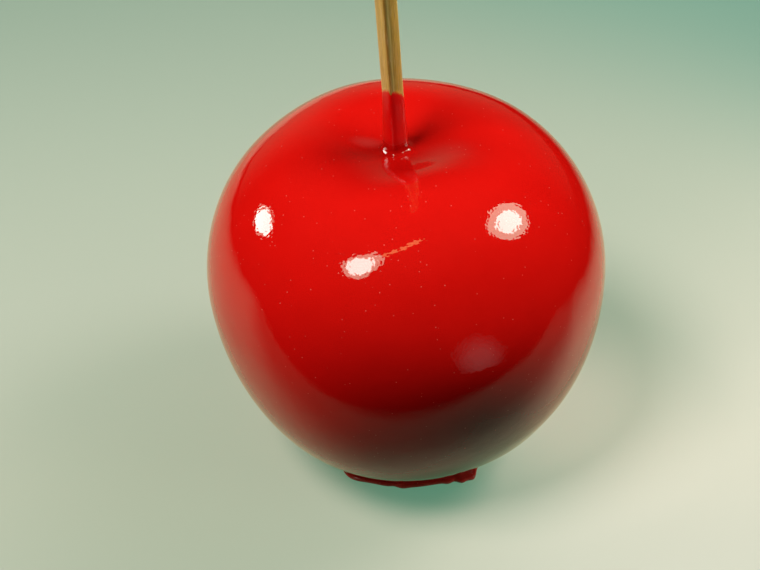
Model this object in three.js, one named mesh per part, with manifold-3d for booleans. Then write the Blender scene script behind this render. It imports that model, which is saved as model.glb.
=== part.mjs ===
// A toffee apple on a square bamboo stick. It stands on the flat foot of toffee that set under it.
// Millimetres, +Z up, the surface it stands on is z = 0. The origin is the middle of the base of
// the bounding box. The apple and its stick lean a little towards -X.

import * as THREE from 'three';
import { mergeVertices } from 'three/addons/utils/BufferGeometryUtils.js';
import Module from 'manifold-3d';

const wasm = await Module();
wasm.setup();

const { degToRad, euclideanModulo, lerp, smoothstep } = THREE.MathUtils;

// ---- Driving dimensions, in millimetres and degrees ----

const bodyRadius = 39;            // half the width over the toffee, on average
const equatorHeight = 42.4;       // the widest ring, above the surface
const crownHeight = 72.2;         // the ring of high shoulders round the dimple
const crownRadius = 14.4;         // radius of that ring
const dimpleHeight = 70.2;        // bottom of the dimple, round the stick
const baseDepth = 42.4;           // how far the lower half would reach below the widest ring
const baseRadius = 12;            // radius at which that lower half turns flat

const footRadius = 23.4;          // the plate of set toffee under the apple, on average
const footThickness = 1.1;
const neckRadius = 21.2;          // where the plate's top runs up into the apple
const neckHeight = 3.2;           // where the concave neck meets the apple's side

const lean = degToRad(4.1);       // of the apple and the stick, towards -X
const leanStart = footThickness;  // the foot lies flat, and the lean sets in above it
const leanFull = 16;
const crownTilt = 0.03;           // the shoulders tilt the other way by this slope
const axisFoot = 2.9;             // X at which the leaning axis meets the surface

const stickWidth = 3;             // square section
const stickCorner = 0.5;
const stickLength = 140;
const stickDepth = 45;            // below the bottom of the dimple
const stickTurn = degToRad(35);   // about its own axis
const stickEndBevel = 0.3;
const stickGap = 0.3;             // clearance all round the stick

const sleeveWall = 0.4;           // toffee that climbs the stick
const sleeveTop = 82.8;           // height of the coat line at the middle of the stick
const sleeveSlopeX = -0.33;       // the coat line falls towards +X
const sleeveSlopeY = -0.79;       // and rises towards the front
const sleeveFlareHeight = 73;     // below here the sleeve spreads into the dimple
const meniscusRadius = 3.6;       // edge of the little pool round the sleeve

const segments = 80;              // round the apple
const squareness = 7;             // exponent of the sleeve's rounded square section

// The apple isn't round, and the edge of its foot wanders in and out. Each line gives a number
// of waves round the axis, their depth, and the place of one crest.
const bodyWaves = [
  { count: 2, depth: 0.31, crest: degToRad(42) },
  { count: 3, depth: 0.39, crest: degToRad(-18) },
  { count: 5, depth: 0.26, crest: degToRad(38) },
];
const footWaves = [
  { count: 2, depth: 0.60, crest: degToRad(50) },
  { count: 3, depth: 0.45, crest: degToRad(20) },
  { count: 5, depth: 0.35, crest: degToRad(-10) },
];
// The crown swells and sinks round the dimple, most at the front. That sets in between the first
// two radii, and dies out between the last two.
const crownWaves = [
  { count: 3, depth: 0.8, crest: degToRad(-60) },
];
const crownWaveRing = [5, 15, 27, 38];
// Single places where the foot ran out further, or less far, than its waves.
const footLobes = [
  { direction: degToRad(-141), reach: -1.4, width: degToRad(7.5) },
  { direction: degToRad(-124.5), reach: 1.2, width: degToRad(8) },
  { direction: degToRad(-85), reach: -0.9, width: degToRad(21) },
  { direction: degToRad(-63), reach: 1.7, width: degToRad(11) },
  { direction: degToRad(-53), reach: -1.1, width: degToRad(6) },
];

// ---- Profile of the toffee, as points of radius and height about an upright axis ----

const sleeveHalf = stickWidth / 2 + stickGap + sleeveWall;

function arcPoints(steps, pointAt) {
  return Array.from({ length: steps + 1 }, (_, i) => pointAt(i / steps));
}

// The plate's rim is a half round between its underside and its top.
function footRim() {
  const round = footThickness / 2;
  return arcPoints(4, (t) => {
    const angle = lerp(-Math.PI / 2, Math.PI / 2, t);
    return new THREE.Vector2(footRadius - round + round * Math.cos(angle), round + round * Math.sin(angle));
  });
}

// Lower half: a quarter ellipse from the neck up to the widest ring.
function lowerSide(steps) {
  const start = Math.asin((equatorHeight - neckHeight) / baseDepth);
  return arcPoints(steps, (t) => {
    const angle = lerp(start, 0, t);
    return new THREE.Vector2(
      baseRadius + (bodyRadius - baseRadius) * Math.cos(angle),
      equatorHeight - baseDepth * Math.sin(angle),
    );
  });
}

// Upper half: a quarter ellipse from the widest ring to the crown.
function upperSide(steps) {
  return arcPoints(steps, (t) => {
    const angle = t * Math.PI / 2;
    return new THREE.Vector2(
      crownRadius + (bodyRadius - crownRadius) * Math.cos(angle),
      equatorHeight + (crownHeight - equatorHeight) * Math.sin(angle),
    );
  });
}

// The dimple falls from the crown in a smooth S to the pool of toffee round the stick.
function dimple(steps) {
  return arcPoints(steps, (t) => {
    const fall = (1 - Math.cos(Math.PI * t)) / 2;
    return new THREE.Vector2(lerp(crownRadius, meniscusRadius, t), lerp(crownHeight, dimpleHeight, fall));
  });
}

function curvePoints(start, control, end, steps) {
  return new THREE.QuadraticBezierCurve(start, control, end).getPoints(steps);
}

function toffeeProfile() {
  const rim = footRim();
  const lower = lowerSide(14);
  const pool = dimple(7);
  const flare = new THREE.Vector2(sleeveHalf + 0.15, sleeveFlareHeight);
  const edge = sleeveWall / 3;
  return [
    new THREE.Vector2(0, 0),
    ...rim,
    ...curvePoints(rim.at(-1), new THREE.Vector2(neckRadius, footThickness + 0.1), lower[0], 5).slice(1),
    ...lower.slice(1),
    ...upperSide(13).slice(1),
    ...pool.slice(1),
    ...curvePoints(pool.at(-1), new THREE.Vector2(sleeveHalf + 0.5, dimpleHeight + 0.1), flare, 4).slice(1),
    new THREE.Vector2(sleeveHalf + 0.05, (sleeveFlareHeight + sleeveTop) / 2),
    new THREE.Vector2(sleeveHalf, sleeveTop - edge),
    new THREE.Vector2(sleeveHalf - edge, sleeveTop),
    new THREE.Vector2(0, sleeveTop),
  ];
}

// ---- The form that turning alone does not give ----

function wander(waves, angle) {
  return waves.reduce((sum, { count, depth, crest }) => sum + depth * Math.cos(count * (angle - crest)), 0);
}

function footReach(angle) {
  return footLobes.reduce((sum, { direction, reach, width }) => {
    const away = euclideanModulo(angle - direction + Math.PI, 2 * Math.PI) - Math.PI;
    return sum + reach * Math.exp(-((away / width) ** 2));
  }, wander(footWaves, angle));
}

function crownSwell(angle, radius) {
  const [start, full, fading, end] = crownWaveRing;
  const ring = smoothstep(radius, start, full) * (1 - smoothstep(radius, fading, end));
  const front = (1 - Math.sin(angle)) / 2;
  return wander(crownWaves, angle) * front * ring;
}

// Radius of a rounded square of half width 1 in the direction of an angle.
function squareRadius(angle) {
  const sum = Math.abs(Math.cos(angle)) ** squareness + Math.abs(Math.sin(angle)) ** squareness;
  return sum ** (-1 / squareness);
}

function shapeToffee(geometry) {
  const position = geometry.attributes.position;
  const point = new THREE.Vector3();
  const up = new THREE.Vector3(0, 1, 0);
  for (let i = 0; i < position.count; i += 1) {
    point.fromBufferAttribute(position, i);
    const radius = Math.hypot(point.x, point.y);
    const angle = Math.atan2(point.y, point.x);
    const height = point.z;

    const nearFoot = 1 - smoothstep(height, footThickness, footThickness + 4);
    const footScale = 1 + nearFoot * footReach(angle) / footRadius;

    const onSleeve = radius < meniscusRadius && height > dimpleHeight ? 1 : 0;
    const bodyScale = 1 + (1 - onSleeve) * wander(bodyWaves, angle) / bodyRadius;
    const square = onSleeve * smoothstep(height, dimpleHeight, sleeveFlareHeight);
    const squareScale = lerp(1, squareRadius(angle - stickTurn), square);

    const across = footScale * bodyScale * squareScale;
    point.x *= across;
    point.y *= across;
    const lineRise = sleeveSlopeX * point.x + sleeveSlopeY * point.y;
    point.z += onSleeve * lineRise * smoothstep(height, sleeveFlareHeight, sleeveTop);
    point.z -= (1 - onSleeve) * crownTilt * point.x * smoothstep(height, equatorHeight, crownHeight);
    point.z += height > equatorHeight ? crownSwell(angle, radius) : 0;
    point.applyAxisAngle(up, -lean * smoothstep(height, leanStart, leanFull));
    position.setXYZ(i, point.x, point.y, point.z);
  }
  return geometry;
}

// ---- Solids ----

function solidOf(geometry) {
  geometry.deleteAttribute('normal');
  geometry.deleteAttribute('uv');
  const merged = mergeVertices(geometry, 1e-4);
  return new wasm.Manifold(new wasm.Mesh({
    numProp: 3,
    vertProperties: new Float32Array(merged.attributes.position.array),
    triVerts: new Uint32Array(merged.index.array),
  }));
}

function geometryOf(solid) {
  const mesh = solid.getMesh();
  const geometry = new THREE.BufferGeometry();
  geometry.setAttribute('position', new THREE.BufferAttribute(new Float32Array(mesh.vertProperties), 3));
  geometry.setIndex(new THREE.BufferAttribute(new Uint32Array(mesh.triVerts), 1));
  geometry.computeVertexNormals();
  return geometry;
}

// A square bar with rounded corners, standing on z = 0.
function squareBar(width, corner, length, bevel) {
  const half = width / 2;
  const shape = new THREE.Shape();
  const corners = [[1, 1, 0], [-1, 1, 90], [-1, -1, 180], [1, -1, 270]];
  for (const [x, y, start] of corners) {
    const from = degToRad(start);
    shape.absarc(x * (half - corner), y * (half - corner), corner, from, from + Math.PI / 2, false);
  }
  return new THREE.ExtrudeGeometry(shape, {
    depth: length - 2 * bevel,
    curveSegments: 4,
    bevelEnabled: bevel > 0,
    bevelThickness: bevel,
    bevelSize: bevel,
    bevelOffset: -bevel,
    bevelSegments: 1,
  }).translate(0, 0, bevel);
}

// Turns and leans a bar to where the stick goes, starting at a distance along the leaning axis.
function placeOnAxis(geometry, start) {
  return geometry.rotateZ(stickTurn).translate(0, 0, start).rotateY(-lean);
}

// ---- Sub-parts ----

function toffeeApple() {
  const turned = new THREE.LatheGeometry(toffeeProfile(), segments, stickTurn).rotateX(Math.PI / 2);
  const toffee = solidOf(shapeToffee(turned));
  const holeStart = dimpleHeight - stickDepth - stickGap;
  const holeLength = sleeveTop - holeStart + 5;
  const bar = squareBar(stickWidth + 2 * stickGap, stickCorner + stickGap, holeLength, 0);
  const hole = solidOf(placeOnAxis(bar, holeStart));
  const mesh = new THREE.Mesh(
    geometryOf(toffee.subtract(hole)),
    new THREE.MeshStandardMaterial({ color: 0xc4100c, roughness: 0.12, metalness: 0 }),
  );
  mesh.name = 'toffee_apple';
  return mesh;
}

function stick() {
  const bar = squareBar(stickWidth, stickCorner, stickLength, stickEndBevel);
  const mesh = new THREE.Mesh(
    placeOnAxis(bar, dimpleHeight - stickDepth),
    new THREE.MeshStandardMaterial({ color: 0xc59a5c, roughness: 0.6, metalness: 0 }),
  );
  mesh.name = 'stick';
  return mesh;
}

const object = new THREE.Group();
object.position.x = axisFoot;
object.add(toffeeApple(), stick());

export default object;
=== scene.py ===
from math import asin, atan2, cos, exp, hypot, pi, radians, sin

import bmesh
import bpy
from mathutils import Matrix, Vector


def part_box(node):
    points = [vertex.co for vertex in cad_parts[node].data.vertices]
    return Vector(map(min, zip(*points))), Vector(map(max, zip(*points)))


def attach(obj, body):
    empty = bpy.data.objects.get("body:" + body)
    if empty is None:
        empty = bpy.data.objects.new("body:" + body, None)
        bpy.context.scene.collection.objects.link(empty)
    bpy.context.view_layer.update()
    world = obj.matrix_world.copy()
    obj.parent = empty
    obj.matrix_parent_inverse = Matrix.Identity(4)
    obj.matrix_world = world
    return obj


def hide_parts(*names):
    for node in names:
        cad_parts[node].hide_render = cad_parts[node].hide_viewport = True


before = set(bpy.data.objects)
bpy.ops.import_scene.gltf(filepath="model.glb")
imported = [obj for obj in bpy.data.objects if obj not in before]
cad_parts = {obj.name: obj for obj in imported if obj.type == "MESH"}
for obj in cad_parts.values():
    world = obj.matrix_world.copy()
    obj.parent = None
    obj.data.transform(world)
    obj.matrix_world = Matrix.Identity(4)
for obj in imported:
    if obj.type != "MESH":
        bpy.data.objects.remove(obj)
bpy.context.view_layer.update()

# A toffee apple on a square bamboo stick. Shapes are worked out in millimetres and brought to
# metres when a piece is finished.

MM = 0.001

# ---- Driving dimensions, in millimetres and radians ----

apple_low, apple_high = (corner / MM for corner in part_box("toffee_apple"))

BODY_RADIUS = (apple_high.y - apple_low.y) / 2
EQUATOR_HEIGHT = 42.4          # the widest ring, above the floor
CROWN_HEIGHT = 72.2            # the ring of high shoulders round the dimple
CROWN_RADIUS = 14.4            # radius of that ring
CROWN_TILT = 0.03              # the shoulders fall towards +X by this slope
DIMPLE_HEIGHT = 70.2           # bottom of the dimple, round the stick
BASE_DEPTH = 42.4              # how far the lower half would reach below the widest ring
BASE_RADIUS = 12               # radius at which that lower half turns flat

FOOT_RADIUS = 23.4             # the plate of set toffee under the apple, on average
FOOT_THICKNESS = 1.1
FOOT_FADE = 4                  # height over which its ragged edge dies out in the body
NECK_RADIUS = 21.2             # where the plate's top runs up into the apple
NECK_HEIGHT = 3.2              # where the concave neck meets the apple's side

LEAN = radians(4.1)            # of the apple and the stick, towards -X
LEAN_FULL = 16                 # the lean sets in between the foot and this height
AXIS_FOOT = 2.9                # X at which the leaning axis meets the floor

STICK_WIDTH = 3                # square section
STICK_SHARPNESS = 7            # exponent of its rounded square: higher is sharper
STICK_LENGTH = 140
STICK_DEPTH = 45               # below the bottom of the dimple
STICK_TURN = radians(35)       # about its own axis
STICK_END_INSET = 0.12         # bevel of its ends, inwards
STICK_END_RISE = 0.08          # and outwards

FILM = 0.16                    # toffee on the stick at the coat line
SLEEVE_TOP = 82.8              # height of the coat line at the middle of the stick
SLEEVE_END = SLEEVE_TOP + 0.3  # the film closes into the wood here, past the coat line
SLEEVE_SLOPE = (-0.33, -0.79)  # rise of the coat line for each millimetre along X and Y
SLEEVE_SHARPNESS = 3.8         # the toffee rounds the stick's corners
SLEEVE_BULGE = 0.4             # more toffee on the stick's left side, at its foot
FLARE_HEIGHT = 77.4            # below here the sleeve thickens
FLARE_WALL = FILM + 0.05       # its thickness there
FILM_TAPER = FLARE_WALL + 0.07 # from there to its end the film sinks this much, into the wood
MENISCUS_HEIGHT = 1.0          # where the sleeve turns into the pool round it, above the dimple
MENISCUS_WALL = FILM + 0.18    # its thickness there
MENISCUS_RADIUS = 2.9          # edge of the pool
SLEEVE_SQUARE_RADIUS = 2.2     # the sleeve is square within this radius, and round at the edge

# The apple isn't round: number of bulges round it, depth, and place of a crest.
BODY_WAVES = [
    (2, 0.31, radians(42)),
    (3, 0.39, radians(-18)),
    (5, 0.26, radians(38)),
]
# The crown swells and sinks round the dimple, most at the front: number of swells, height, and
# place of a crest. That sets in between the first two radii, and dies out between the others.
CROWN_WAVES = [(3, 0.8, radians(-60))]
CROWN_WAVE_RING = (5, 15, 27, 38)
# The edge of the foot wanders: number of waves round it, depth, and place of a crest.
FOOT_WAVES = [
    (2, 0.60, radians(50)),
    (3, 0.45, radians(20)),
    (5, 0.35, radians(-10)),
]
# Places where the foot ran out further, or less far, than its waves: direction, reach and
# width. The wide ones come first, then small nubs and chips.
FOOT_LOBES = [
    (radians(-141), -1.4, radians(7.5)),
    (radians(-124.5), 1.2, radians(8)),
    (radians(-85), -0.9, radians(21)),
    (radians(-63), 1.7, radians(11)),
    (radians(-53), -1.1, radians(6)),
    (radians(-103), -0.25, radians(2.2)),
    (radians(-98), 0.20, radians(2.5)),
    (radians(-75), 0.25, radians(1.8)),
    (radians(-71), -0.30, radians(1.5)),
    (radians(-67.5), 0.35, radians(1.6)),
    (radians(-61.0), 0.6, radians(2.6)),
]

# How finely the pieces are made
TURN_STEPS = 360               # round the apple
STICK_SIDES = 72               # round the stick
STICK_RINGS = 70               # along the stick
SAME_PLACE = 1e-4              # points closer than this are one
SAME_HEIGHT = 1e-6             # an edge whose ends differ by less is level

# ---- The stage, in millimetres and degrees ----

FLOOR_REACH = 1200             # half the width of the floor
CARD_HEIGHT = 0.3              # of the black card, above the floor
CAMERA_PLACE = (-5.24, -180.38, 198.56)
CAMERA_FALL = 42               # how far down the camera looks
CAMERA_LENS = 56.73
CAMERA_SENSOR = 36

LAMP_COLOUR = (1.0, 0.97, 0.90)
WHITE = (1.0, 0.98, 0.93)
SHADE = (0.45, 0.88, 0.66)     # turns to pale pink over the red
ORANGE = (0.9, 0.66, 0.24)

# The lamps that light the apple and the floor: name, direction round the apple and above the
# floor, distance, width and power.
KEY_LAMPS = [
    ("key_left", 178, 6, 800, 240, 1.75),
    ("key_front", 212, 61, 600, 220, 3.75),
    ("key_right", 20, 38, 500, 220, 1.45),
    ("fill_right", -14, 30, 700, 450, 1.50),
]

# The lamps that only the gloss shows: name, the place on the coat that each faces, the
# direction from there to the lamp, its width and depth, power, turn and colour.
GLINT_LAMPS = [
    ("left_core", (-25.6, -15.9, 65.6), (-0.850, 0.200, 0.406), 136, 112, 0.62, 80, WHITE),
    ("left_shade", (-25.6, -15.9, 65.7), (-0.849, 0.206, 0.406), 164, 132, 0.25, 88, SHADE),
    ("front_core", (-8.0, -28.2, 65.6), (-0.383, -0.449, 0.808), 116, 116, 0.48, -30, WHITE),
    ("front_shade", (-8.0, -28.0, 65.8), (-0.378, -0.444, 0.815), 172, 164, 0.44, 88, SHADE),
    ("right_core", (16.7, -20.1, 68.6), (0.727, 0.064, 0.680), 188, 128, 0.84, 5, WHITE),
    ("right_shade", (16.5, -20.2, 68.8), (0.723, 0.067, 0.688), 300, 225, 1.25, 0, SHADE),
    ("strip", (-1.5, -26.3, 68.2), (-0.100, -0.335, 0.937), 187, 31, 0.065, 42, ORANGE),
]
GLINT_DISTANCE = 500           # of each of them from its place

# A glow low on the front, soft because it is made of four discs one behind the other.
GLOW_PLACE = (11.7, -35.1, 51.3)
GLOW_DIRECTION = (0.581, -0.746, -0.327)
GLOW_DISTANCE = 100
GLOW_WIDTH = 64
GLOW_DEPTH = 42
GLOW_POWER = 0.0008
GLOW_TURN = -66
GLOW_SHARES = (0.4, 0.6, 0.8, 1.0)


# ---- Small helpers ----

def mix(start, end, share):
    return start + (end - start) * share


def ease(value, start, end):
    """0 below start, 1 above end, and a smooth rise between them."""
    share = min(max((value - start) / (end - start), 0), 1)
    return share * share * (3 - 2 * share)


def steps_of(count, point_at):
    return [point_at(i / count) for i in range(count + 1)]


def bend_through(start, control, end, count):
    """Points of a quadratic curve, without its first one."""
    def point_at(share):
        first = mix(Vector(start), Vector(control), share)
        last = mix(Vector(control), Vector(end), share)
        return tuple(mix(first, last, share))
    return steps_of(count, point_at)[1:]


def finish_piece(shape, name, material, node):
    """Brings a shape in millimetres to a piece in metres that stands for a CAD node."""
    bmesh.ops.scale(shape, vec=(MM, MM, MM), verts=shape.verts)
    for face in shape.faces:
        face.smooth = True
    mesh = bpy.data.meshes.new(name)
    shape.to_mesh(mesh)
    shape.free()
    piece = bpy.data.objects.new(name, mesh)
    bpy.context.scene.collection.objects.link(piece)
    mesh.materials.append(material)
    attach(piece, "root")
    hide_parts(node)


# ---- Shader maths ----

def operators(operation):
    """An arithmetic operator of Wire, and its reflected form."""
    def plain(wire, other):
        return wire.maths(operation, wire, other)

    def reflected(wire, other):
        return wire.maths(operation, other, wire)

    return plain, reflected


class Wire:
    """One output socket of a finish, so that shader maths reads as ordinary arithmetic."""

    def __init__(self, finish, socket):
        self.finish = finish
        self.socket = socket

    def maths(self, operation, *values):
        return self.finish.node("ShaderNodeMath", {"operation": operation}, values)

    __add__, __radd__ = operators("ADD")
    __sub__, __rsub__ = operators("SUBTRACT")
    __mul__, __rmul__ = operators("MULTIPLY")
    __truediv__, __rtruediv__ = operators("DIVIDE")
    __pow__, __rpow__ = operators("POWER")

    def at_least(self, other):
        return self.maths("MAXIMUM", self, other)

    def smooth_from(self, start, end):
        """0 below start, 1 above end, and a smooth rise between them."""
        settings = {"interpolation_type": "SMOOTHSTEP"}
        inputs = {"Value": self, "From Min": start, "From Max": end}
        return self.finish.node("ShaderNodeMapRange", settings, inputs)


class Finish:
    """The nodes of a material or a world."""

    def __init__(self, owner, shader="Principled BSDF"):
        owner.use_nodes = True
        self.owner = owner
        self.tree = owner.node_tree
        self.shader = self.tree.nodes[shader]

    def node(self, kind, settings=None, inputs=None, output=0):
        """Adds a node, sets its settings, then feeds its sockets with values or wires."""
        node = self.tree.nodes.new(kind)
        for name, value in (settings or {}).items():
            if name == "stops":
                self.set_stops(node.color_ramp, value)
            else:
                setattr(node, name, value)
        pairs = inputs.items() if isinstance(inputs, dict) else enumerate(inputs or ())
        for name, value in pairs:
            self.feed(node.inputs[name], value)
        return Wire(self, node.outputs[output])

    def set_stops(self, ramp, stops):
        while len(ramp.elements) < len(stops):
            ramp.elements.new(0.5)
        for element, (position, colour) in zip(ramp.elements, stops):
            element.position = position
            element.color = colour

    def feed(self, socket, value):
        if isinstance(value, Wire):
            self.tree.links.new(value.socket, socket)
        else:
            socket.default_value = value

    def surface(self, **inputs):
        """Feeds the shader's own sockets."""
        for name, value in inputs.items():
            self.feed(self.shader.inputs[name.replace("_", " ")], value)

    def blend(self, share, first, second):
        """A colour between two colours, by the colour sockets of a Mix node."""
        settings = {"data_type": "RGBA"}
        return self.node("ShaderNodeMix", settings, {0: share, 6: first, 7: second}, output=2)

    def ramp(self, stops, share):
        """A colour from a row of stops."""
        return self.node("ShaderNodeValToRGB", {"stops": stops}, [share])

    def mapped(self, vector, **changes):
        """A vector moved, turned or scaled."""
        return self.node("ShaderNodeMapping", {}, {"Vector": vector, **changes})

    def place(self, turn=(0, 0, 0), shift=(0, 0, 0)):
        """Object coordinates in millimetres, moved and turned onto a piece."""
        where = self.node("ShaderNodeTexCoord", output="Object")
        moved = self.mapped(where, Location=shift)
        return self.mapped(moved, Rotation=turn, Scale=(1 / MM,) * 3)

    def split(self, vector):
        parts = self.node("ShaderNodeSeparateXYZ", {}, [vector])
        return [Wire(self, output) for output in parts.socket.node.outputs]

    def grain(self, vector, size, detail=2.0, roughness=0.5):
        """Noise from 0 to 1 whose lumps are about as wide as size."""
        inputs = {"Vector": vector, "Scale": 1 / size, "Detail": detail, "Roughness": roughness}
        return self.node("ShaderNodeTexNoise", {}, inputs)

    def bumps(self, height, strength):
        """A normal from heights in millimetres."""
        inputs = {"Strength": strength, "Distance": MM, "Height": height}
        return self.node("ShaderNodeBump", {}, inputs)


def rgb(red, green, blue):
    return (red, green, blue, 1)


def oval(x, y, middle_x, middle_y, wide, shaded_low):
    """1 at the middle of an oval, and a smooth fall to 0 at its edge."""
    across = (x - middle_x) / wide
    along = (y - middle_y) / shaded_low
    return 1 - ((across * across + along * along) ** 0.5).smooth_from(0.1, 1.0)


# ---- Finishes ----

PEEL_SIZE = 0.50               # fine ripple of the coat, which frays the edges of its glints
PEEL_HEIGHT = 0.0105
SWELL_SIZE = 3.5               # broad unevenness of the coat
SWELL_HEIGHT = 0.05
MOTTLE_SIZE = 6.0              # patches of lighter and darker red
SPECK_SPACING = 1.6            # bubbles and specks in the coat
COAT_ROUGHNESS = 0.015
COAT_IOR = 1.5
WAXY_ROUGHNESS = 0.33          # added where the coat is waxy, on the stick
COAT_LINE_FRAY = 1.2           # how far the fibres draw the coat line up and down

FIBRE_SIZE = 0.11
FIBRE_RELIEF = 0.06
WAVER_SIZE = 0.5               # the stripes of the wood waver a little
STRETCH = (1, 1, 0.03)         # the wood's patterns run 33 times as long as they are wide

# Painted shade of the lower body: its red from left to right, deepest a little right of the
# middle, which is 0.5.
LOW_SHADE_REDS = [
    (0.25, rgb(0.50, 0.0030, 0.0022)),
    (0.50, rgb(0.29, 0.0020, 0.0018)),
    (0.67, rgb(0.07, 0.0010, 0.0014)),
    (0.75, rgb(0.10, 0.0010, 0.0014)),
    (0.86, rgb(0.36, 0.0020, 0.0020)),
]
LOW_SHADE_WIDTH = 80

# Painted shade: the dimple round the stick is darkened in this oval, where less light reaches it.
# Ovals are given by their middle and their half widths.
DIMPLE_SHADE_OVAL = (-3.5, -4.0, 24.0, 15.0)
# Beside the stick, a painted reflection with painted shade greys the red in two soft ovals: each
# oval, and its strength.
REFLECTION_SPOTS = [
    (6.8, -3.4, 6.5, 4.8, 0.5),
    (-7.6, 1.6, 4.2, 2.2, 1.1),
]

# The wood's colours across two faces of the stick, with the corner between them at 0.5.
WOOD_STRIPES = [
    (0.00, rgb(0.70, 0.50, 0.20)),
    (0.08, rgb(0.60, 0.38, 0.11)),
    (0.24, rgb(0.50, 0.31, 0.07)),
    (0.30, rgb(0.60, 0.38, 0.09)),
    (0.44, rgb(0.50, 0.30, 0.06)),
    (0.49, rgb(0.38, 0.20, 0.03)),
    (0.53, rgb(0.32, 0.18, 0.02)),
    (0.60, rgb(0.36, 0.31, 0.07)),
    (0.64, rgb(0.56, 0.46, 0.12)),
    (0.68, rgb(0.36, 0.25, 0.03)),
    (0.76, rgb(0.62, 0.39, 0.05)),
    (0.92, rgb(0.74, 0.48, 0.08)),
    (0.98, rgb(0.80, 0.60, 0.24)),
]
# The toffee over those two faces, darker where the skin shows through.
FILM_STRIPES = [
    (0.00, rgb(0.62, 0.0050, 0.0010)),
    (0.23, rgb(0.58, 0.0020, 0.0010)),
    (0.36, rgb(0.61, 0.0005, 0.0005)),
    (0.62, rgb(0.63, 0.0005, 0.0005)),
    (0.76, rgb(0.70, 0.0010, 0.0010)),
    (0.90, rgb(0.80, 0.0050, 0.0020)),
]

# Ovals of the floor with painted light and shade: a broad painted shade at the left, a paler
# painted patch that lifts the cast shadow at the right, and a painted green shadow in front of
# the foot.
LEFT_SHADE = (-40, -23, 80, 74)
RIGHT_PATCH = (36, -2, 38, 36)
FOOT_SHADE = (4, -22, 18, 10)


def stick_frame(finish):
    """Object coordinates in millimetres, upright, and then turned square with the stick."""
    upright = finish.place(shift=(-AXIS_FOOT * MM, 0, 0), turn=(0, LEAN, 0))
    return upright, finish.mapped(upright, Rotation=(0, 0, -STICK_TURN))


def bamboo_colour(finish, square):
    """Tan wood, with the dark skin and its lines along one corner."""
    x, y = finish.split(square)[:2]
    round_the_corner = (x - y) / (2 * STICK_WIDTH) + 0.5
    stretched = finish.mapped(square, Scale=STRETCH)
    waver = finish.grain(stretched, WAVER_SIZE, detail=1.0) - 0.5
    stripes = finish.ramp(WOOD_STRIPES, round_the_corner + waver * 0.10)
    fibres = finish.grain(stretched, FIBRE_SIZE, detail=3.0, roughness=0.65)
    dark = finish.blend(fibres.smooth_from(0.48, 0.72) * 0.55, stripes, rgb(0.13, 0.055, 0.008))
    wood = finish.blend(1 - fibres.smooth_from(0.30, 0.45), dark, rgb(0.62, 0.42, 0.19))
    return wood, round_the_corner, fibres


def body_colour(finish, where):
    """Mottled red with pale specks and a browner foot, with painted shade low down and in the
    dimple, and a painted reflection beside the stick.
    """
    x, y, height = finish.split(where)
    mottle = finish.grain(where, MOTTLE_SIZE, detail=3.0)
    red = finish.blend(mottle, rgb(0.54, 0.0040, 0.0024), rgb(0.61, 0.0050, 0.0032))
    # Painted shade: below about 36 to 60 mm the body turns to the darker reds, and this reaches
    # higher on the left.
    low_shade_red = finish.ramp(LOW_SHADE_REDS, x / LOW_SHADE_WIDTH + 0.5)
    shaded_low = finish.blend(1 - (x * 0.30 + height).smooth_from(36, 60), red, low_shade_red)
    foot = 1 - height.smooth_from(1.0, 3.0)
    brown = finish.blend(foot, shaded_low, rgb(0.42, 0.022, 0.015))
    spaced = {"Vector": where, "Scale": 1 / SPECK_SPACING}
    cells = finish.node("ShaderNodeTexVoronoi", {}, spaced, output="Distance")
    speck = 1 - cells.smooth_from(0.03, 0.09)
    specked = finish.blend(speck * 0.5, brown, rgb(0.80, 0.20, 0.16))
    # Painted shade in the hollow of the dimple round the stick.
    dimple_shade_mask = oval(x, y, *DIMPLE_SHADE_OVAL) * height.smooth_from(50, 60)
    dimple_shaded = finish.blend(dimple_shade_mask * 0.62, specked, rgb(0.22, 0.0008, 0.0008))
    # Painted reflection of pale surroundings, with painted shade, greys the red beside the stick.
    painted_haze = sum(oval(x, y, *spot) * strength for *spot, strength in REFLECTION_SPOTS)
    return finish.blend(painted_haze * 0.28, dimple_shaded, rgb(0.32, 0.046, 0.038))


def red_toffee():
    """The clear red coat. On the stick it covers the wood up to a slanting, ragged line."""
    finish = Finish(bpy.data.materials.new("red_toffee"))
    where = finish.place()
    upright, square = stick_frame(finish)
    wood, round_the_corner, fibres = bamboo_colour(finish, square)
    across, depth, level = finish.split(upright)
    slope_x, slope_y = SLEEVE_SLOPE
    line = SLEEVE_TOP + across * slope_x + depth * slope_y
    below_line = line - level + (fibres - 0.5) * COAT_LINE_FRAY
    film = finish.ramp(FILM_STRIPES, round_the_corner + (fibres - 0.5) * 0.15)
    sleeve = finish.blend(below_line.smooth_from(0.1, 1.1), wood, film)
    from_axis = (across * across + depth * depth) ** 0.5
    beside_stick = 1 - from_axis.smooth_from(3.2, 4.2)
    on_stick = level.smooth_from(DIMPLE_HEIGHT + 0.6, DIMPLE_HEIGHT + 4) * beside_stick
    colour = finish.blend(on_stick, body_colour(finish, where), sleeve)
    waxy = level.smooth_from(DIMPLE_HEIGHT + 1.2, DIMPLE_HEIGHT + 2.4) * beside_stick
    peel = finish.grain(where, PEEL_SIZE, detail=0.0)
    swell = finish.grain(where, SWELL_SIZE, detail=1.0)
    normal = finish.bumps(peel * PEEL_HEIGHT + swell * SWELL_HEIGHT, strength=1.0)
    finish.surface(
        Base_Color=colour, Roughness=waxy * WAXY_ROUGHNESS + COAT_ROUGHNESS, IOR=COAT_IOR,
        Normal=normal)
    return finish.owner


def bamboo():
    """The bare wood."""
    finish = Finish(bpy.data.materials.new("bamboo"))
    wood, _, fibres = bamboo_colour(finish, stick_frame(finish)[1])
    normal = finish.bumps(fibres * FIBRE_RELIEF, strength=0.6)
    finish.surface(Base_Color=wood, Roughness=0.6, Normal=normal)
    return finish.owner


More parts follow.
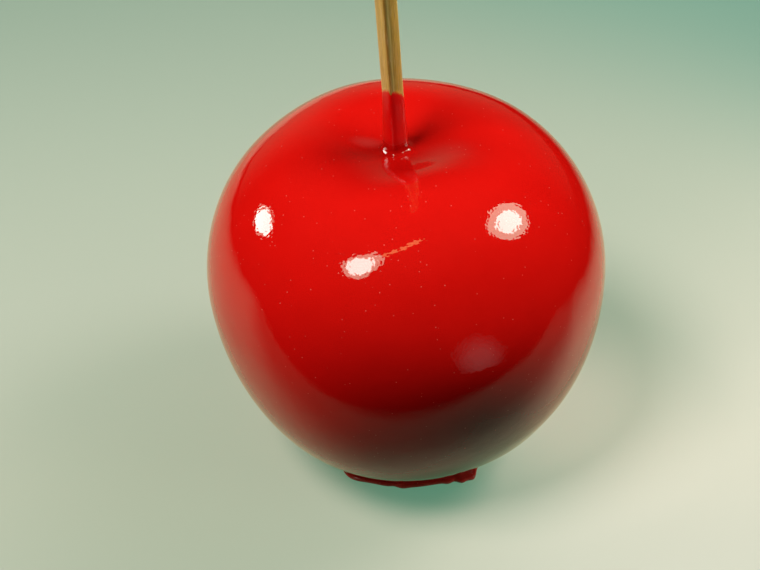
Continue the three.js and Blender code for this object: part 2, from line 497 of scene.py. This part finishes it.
def paper():
    """Pale paper with painted lamp light, palest at the front right. It glows a little, greener
    near the apple: painted fill light.
    """
    finish = Finish(bpy.data.materials.new("floor_paper"))
    x, y = finish.split(finish.place())[:2]
    # Painted light: the paper is palest at the front right and darkens towards the back and the
    # back right corner, as the lamps' light falls off.
    right = (x - y * 0.6).smooth_from(0, 110)
    back = (y + 25) / 206
    back_corner = (x * 0.7 + y).smooth_from(130, 280)
    front = finish.blend(right, rgb(0.415, 0.350, 0.320), rgb(0.53, 0.44, 0.42))
    receding = finish.blend(back, front, rgb(0.235, 0.22, 0.205))
    falloff_shaded = finish.blend(back_corner * 0.85, receding, rgb(0.10, 0.16, 0.15))
    # Painted shadows on the floor, and a painted lift in the shadow at the right.
    left_shaded = finish.blend(oval(x, y, *LEFT_SHADE) * 0.75, falloff_shaded, rgb(0.31, 0.255, 0.220))
    lifted = finish.blend(oval(x, y, *RIGHT_PATCH), left_shaded, rgb(0.68, 0.56, 0.53))
    foot_shadowed = finish.blend(oval(x, y, *FOOT_SHADE) * 0.9, lifted, rgb(0.03, 0.16, 0.13))
    # Painted fill light: the paper glows, green near the apple so that its shadows aren't black,
    # and paler far away.
    from_apple = (x * x + y * y) ** 0.5
    far = from_apple.smooth_from(260, 600).at_least(y.smooth_from(190, 330))
    glow = finish.blend(far, rgb(0.09, 0.22, 0.14), rgb(0.42, 0.50, 0.41))
    finish.surface(
        Base_Color=foot_shadowed, Roughness=0.6, Specular_IOR_Level=0.0,
        Emission_Color=glow, Emission_Strength=1.0)
    return finish.owner


def black_card():
    """Painted shade: black, with a soft clearing that lets a warm share of the light through,
    less of it near the apple's front.
    """
    finish = Finish(bpy.data.materials.new("black_card"))
    x, y = finish.split(finish.place())[:2]
    left = x.smooth_from(-480, -200)
    right = 1 - (x + y * 0.35).smooth_from(120, 260)
    front = y.smooth_from(-76, -62)
    # Painted shade in the mirrored floor: less light passes near the apple's front.
    near = (y - x.at_least(0) * 0.13).smooth_from(-54, -16) * 0.72 + 0.28
    finish.surface(Base_Color=rgb(0, 0, 0), Roughness=1.0, Specular_IOR_Level=0.0)
    card = Wire(finish, finish.shader.outputs["BSDF"])
    clearing = finish.node("ShaderNodeBsdfTransparent", {}, {"Color": rgb(1.0, 0.98, 0.80)})
    share = left * right * front * near
    mixed = finish.node("ShaderNodeMixShader", {}, {0: share, 1: card, 2: clearing})
    finish.feed(finish.tree.nodes["Material Output"].inputs["Surface"], mixed)
    return finish.owner


# ---- Shapes ----

def wander(waves, angle):
    return sum(depth * cos(count * (angle - crest)) for count, depth, crest in waves)


def foot_reach(angle):
    """How far the foot's edge stands out past its average at an angle."""
    reach = wander(FOOT_WAVES, angle)
    for direction, depth, width in FOOT_LOBES:
        away = (angle - direction + pi) % (2 * pi) - pi
        reach += depth * exp(-((away / width) ** 2))
    return reach


def crown_swell(angle, radius):
    """How far the crown stands up past its average."""
    start, full, fading, end = CROWN_WAVE_RING
    front = (1 - sin(angle)) / 2
    ring = ease(radius, start, full) * (1 - ease(radius, fading, end))
    return wander(CROWN_WAVES, angle) * front * ring


def square_radius(angle, sharpness):
    """Radius of a rounded square of half width 1 in the direction of an angle."""
    return (abs(cos(angle)) ** sharpness + abs(sin(angle)) ** sharpness) ** (-1 / sharpness)


def toffee_profile():
    """The toffee's section, from the middle of its underside to its line on the stick."""
    edge = FOOT_THICKNESS / 2
    rim_middle = FOOT_RADIUS - edge
    underside = steps_of(14, lambda t: (rim_middle * t, 0))
    rim = steps_of(8, lambda t: (
        rim_middle + edge * sin(pi * t), edge - edge * cos(pi * t)))

    neck_angle = asin((EQUATOR_HEIGHT - NECK_HEIGHT) / BASE_DEPTH)
    shoulder = BODY_RADIUS - BASE_RADIUS
    neck = (BASE_RADIUS + shoulder * cos(neck_angle), NECK_HEIGHT)
    lower = steps_of(34, lambda t: (
        BASE_RADIUS + shoulder * cos(neck_angle * (1 - t)),
        EQUATOR_HEIGHT - BASE_DEPTH * sin(neck_angle * (1 - t))))
    upper = steps_of(34, lambda t: (
        CROWN_RADIUS + (BODY_RADIUS - CROWN_RADIUS) * cos(t * pi / 2),
        EQUATOR_HEIGHT + (CROWN_HEIGHT - EQUATOR_HEIGHT) * sin(t * pi / 2)))
    dimple = steps_of(16, lambda t: (
        mix(CROWN_RADIUS, MENISCUS_RADIUS, t),
        mix(CROWN_HEIGHT, DIMPLE_HEIGHT, (1 - cos(pi * t)) / 2)))

    wood = STICK_WIDTH / 2
    meniscus_end = (wood + MENISCUS_WALL, DIMPLE_HEIGHT + MENISCUS_HEIGHT)
    flare = (wood + FLARE_WALL, FLARE_HEIGHT)
    sleeve = steps_of(16, lambda t: (
        wood + FLARE_WALL - FILM_TAPER * t ** 4, mix(FLARE_HEIGHT, SLEEVE_END, t)))
    return [
        *underside,
        *rim[1:],
        *bend_through(rim[-1], (NECK_RADIUS, FOOT_THICKNESS + 0.1), neck, 8),
        *lower[1:],
        *upper[1:],
        *dimple[1:],
        *bend_through(dimple[-1], (wood + FILM + 0.28, DIMPLE_HEIGHT), meniscus_end, 14),
        *bend_through(meniscus_end, (wood + FILM + 0.12, DIMPLE_HEIGHT + 2.5), flare, 10),
        *sleeve[1:],
        (0, SLEEVE_END),
    ]


def turned(profile):
    """A closed shape from a section that starts and ends on the axis."""
    shape = bmesh.new()
    points = [shape.verts.new((radius, 0, height)) for radius, height in profile]
    edges = [shape.edges.new(pair) for pair in zip(points, points[1:])]
    bmesh.ops.spin(
        shape, geom=points + edges, axis=(0, 0, 1), cent=(0, 0, 0),
        steps=TURN_STEPS, angle=2 * pi, use_merge=True)
    bmesh.ops.remove_doubles(shape, verts=shape.verts, dist=SAME_PLACE)
    bmesh.ops.recalc_face_normals(shape, faces=shape.faces)
    return shape


def lean(point, angle):
    """Leans a point that is placed about an upright axis, and moves it with the axis's foot."""
    return Matrix.Rotation(-angle, 3, "Y") @ point + Vector((AXIS_FOOT, 0, 0))


def shaped(point):
    """Moves a point of the turned toffee to where the uneven, leaning one has it."""
    x, y, height = point
    radius = hypot(x, y)
    angle = atan2(y, x)
    near_foot = 1 - ease(height, FOOT_THICKNESS, FOOT_THICKNESS + FOOT_FADE)
    across = 1 + near_foot * foot_reach(angle) / FOOT_RADIUS
    if radius < MENISCUS_RADIUS and height > DIMPLE_HEIGHT:
        square = 1 - ease(radius, SLEEVE_SQUARE_RADIUS, MENISCUS_RADIUS)
        across *= mix(1, square_radius(angle - STICK_TURN, SLEEVE_SHARPNESS), square)
        if radius:
            left = max(0, -cos(angle))
            bulge = SLEEVE_BULGE * left * (1 - ease(height, DIMPLE_HEIGHT, SLEEVE_TOP))
            across += square * bulge / radius
        line_rise = SLEEVE_SLOPE[0] * x + SLEEVE_SLOPE[1] * y
        rise = line_rise * ease(height, FLARE_HEIGHT, SLEEVE_TOP)
    else:
        across *= 1 + wander(BODY_WAVES, angle) / BODY_RADIUS
        rise = -CROWN_TILT * x * ease(height, EQUATOR_HEIGHT, CROWN_HEIGHT)
        if height > EQUATOR_HEIGHT:
            rise += crown_swell(angle, radius)
    leaning = LEAN * ease(height, FOOT_THICKNESS, LEAN_FULL)
    return lean(Vector((x * across, y * across, height + rise)), leaning)


def toffee_apple():
    """The coated apple with its foot, and the toffee that climbs the stick."""
    shape = turned(toffee_profile())
    for vert in shape.verts:
        vert.co = shaped(vert.co)
    finish_piece(shape, "toffee_coat", red_toffee(), "toffee_apple")


def is_level(edge):
    return abs(edge.verts[0].co.z - edge.verts[1].co.z) < SAME_HEIGHT


def stick():
    """A square bar with rounded corners, grown ring by ring and bevelled at both ends."""
    shape = bmesh.new()
    ring = bmesh.ops.create_circle(shape, segments=STICK_SIDES, radius=STICK_WIDTH / 2)["verts"]
    for vert in ring:
        vert.co *= square_radius(atan2(vert.co.y, vert.co.x), STICK_SHARPNESS)
    edges = list(shape.edges)
    for _ in range(STICK_RINGS):
        grown = bmesh.ops.extrude_edge_only(shape, edges=edges)["geom"]
        verts = [part for part in grown if isinstance(part, bmesh.types.BMVert)]
        bmesh.ops.translate(shape, vec=(0, 0, STICK_LENGTH / STICK_RINGS), verts=verts)
        edges = [
            part for part in grown if isinstance(part, bmesh.types.BMEdge) and is_level(part)]
    open_edges = [edge for edge in shape.edges if edge.is_boundary]
    caps = bmesh.ops.edgeloop_fill(shape, edges=open_edges)["faces"]
    bmesh.ops.inset_region(
        shape, faces=caps, thickness=STICK_END_INSET, depth=STICK_END_RISE)
    bmesh.ops.recalc_face_normals(shape, faces=shape.faces)
    turn = Matrix.Rotation(STICK_TURN, 3, "Z")
    for vert in shape.verts:
        upright = turn @ vert.co + Vector((0, 0, DIMPLE_HEIGHT - STICK_DEPTH))
        vert.co = lean(upright, LEAN)
    finish_piece(shape, "bamboo_stick", bamboo(), "stick")


# ---- Stage ----

def stage_sheet(name, material, height):
    """A flat square of the stage, as wide as the floor."""
    shape = bmesh.new()
    bmesh.ops.create_grid(shape, x_segments=1, y_segments=1, size=FLOOR_REACH * MM)
    bmesh.ops.translate(shape, vec=(0, 0, height * MM), verts=shape.verts)
    mesh = bpy.data.meshes.new(name)
    shape.to_mesh(mesh)
    shape.free()
    mesh.materials.append(material)
    sheet = bpy.data.objects.new(name, mesh)
    bpy.context.scene.collection.objects.link(sheet)
    return sheet


def floor():
    stage_sheet("floor", paper(), height=0)


def flag():
    """A black card of painted shade that hides the floor from the toffee, but for a soft
    clearing: the toffee mirrors it as dark floor, and it keeps the floor's bounce light off the
    apple.
    """
    card = stage_sheet("flag", black_card(), height=CARD_HEIGHT)
    card.visible_camera = False
    card.visible_shadow = False


def lamp(name, place, direction, distance, width, depth, power, turn=0, colour=LAMP_COLOUR):
    """A round lamp that faces a place, in a direction and at a distance from it."""
    light = bpy.data.lights.new(name, "AREA")
    light.shape = "ELLIPSE"
    light.size = width * MM
    light.size_y = depth * MM
    light.energy = power
    light.color = colour
    holder = bpy.data.objects.new(name, light)
    holder.location = (Vector(place) + Vector(direction).normalized() * distance) * MM
    aim = Vector(place) * MM - holder.location
    turned_by = Matrix.Rotation(radians(turn), 3, "Z")
    facing = aim.to_track_quat("-Z", "Y").to_matrix() @ turned_by
    holder.rotation_euler = facing.to_euler()
    holder.visible_camera = False
    bpy.context.scene.collection.objects.link(holder)
    return holder


def key_lamps():
    """The lamps that light the apple and the floor. Their reflections are made apart."""
    for name, azimuth, elevation, distance, width, power in KEY_LAMPS:
        level = cos(radians(elevation))
        direction = (
            level * cos(radians(azimuth)), level * sin(radians(azimuth)), sin(radians(elevation)))
        key = lamp(name, (0, 0, EQUATOR_HEIGHT), direction, distance, width, width, power)
        key.visible_glossy = False


def glints():
    """What the gloss shows of the lamps: bright cores in fainter shades, a strip and a glow."""
    shown = [
        lamp(name, place, direction, GLINT_DISTANCE, width, depth, power, turn, colour)
        for name, place, direction, width, depth, power, turn, colour in GLINT_LAMPS]
    for share in GLOW_SHARES:
        shown.append(lamp(
            "low_glow", GLOW_PLACE, GLOW_DIRECTION, GLOW_DISTANCE + share,
            GLOW_WIDTH * share, GLOW_DEPTH * share, GLOW_POWER * share ** 2, GLOW_TURN))
    for light in shown:
        light.visible_diffuse = False


def room():
    """A dark room with a faint glow overhead and low behind, which looks pale to the camera."""
    walls = Finish(bpy.data.worlds.new("room"), "Background")
    x, y, z = walls.split(walls.node("ShaderNodeTexCoord", output="Generated"))
    overhead = z.smooth_from(0.5, 0.9) * 0.03
    low = 1 - z.smooth_from(0.0, 0.75)
    behind = y.smooth_from(0.5, 0.95) * (low * (0.19 - x.smooth_from(0.0, 0.5) * 0.12))
    seen = walls.node("ShaderNodeLightPath", output="Is Camera Ray")
    tint = walls.blend(seen, rgb(0.95, 1.0, 0.6), rgb(0.86, 0.96, 0.84))
    walls.surface(Color=tint, Strength=overhead + behind + seen * 0.6)
    bpy.context.scene.world = walls.owner


def camera():
    data = bpy.data.cameras.new("camera")
    data.sensor_width = CAMERA_SENSOR
    data.lens = CAMERA_LENS
    holder = bpy.data.objects.new("camera", data)
    holder.location = Vector(CAMERA_PLACE) * MM
    holder.rotation_euler = (radians(90 - CAMERA_FALL), 0, 0)
    bpy.context.scene.collection.objects.link(holder)
    bpy.context.scene.camera = holder


camera()
room()
floor()
flag()
key_lamps()
glints()
toffee_apple()
stick()
bpy.context.scene.view_settings.view_transform = "Standard"
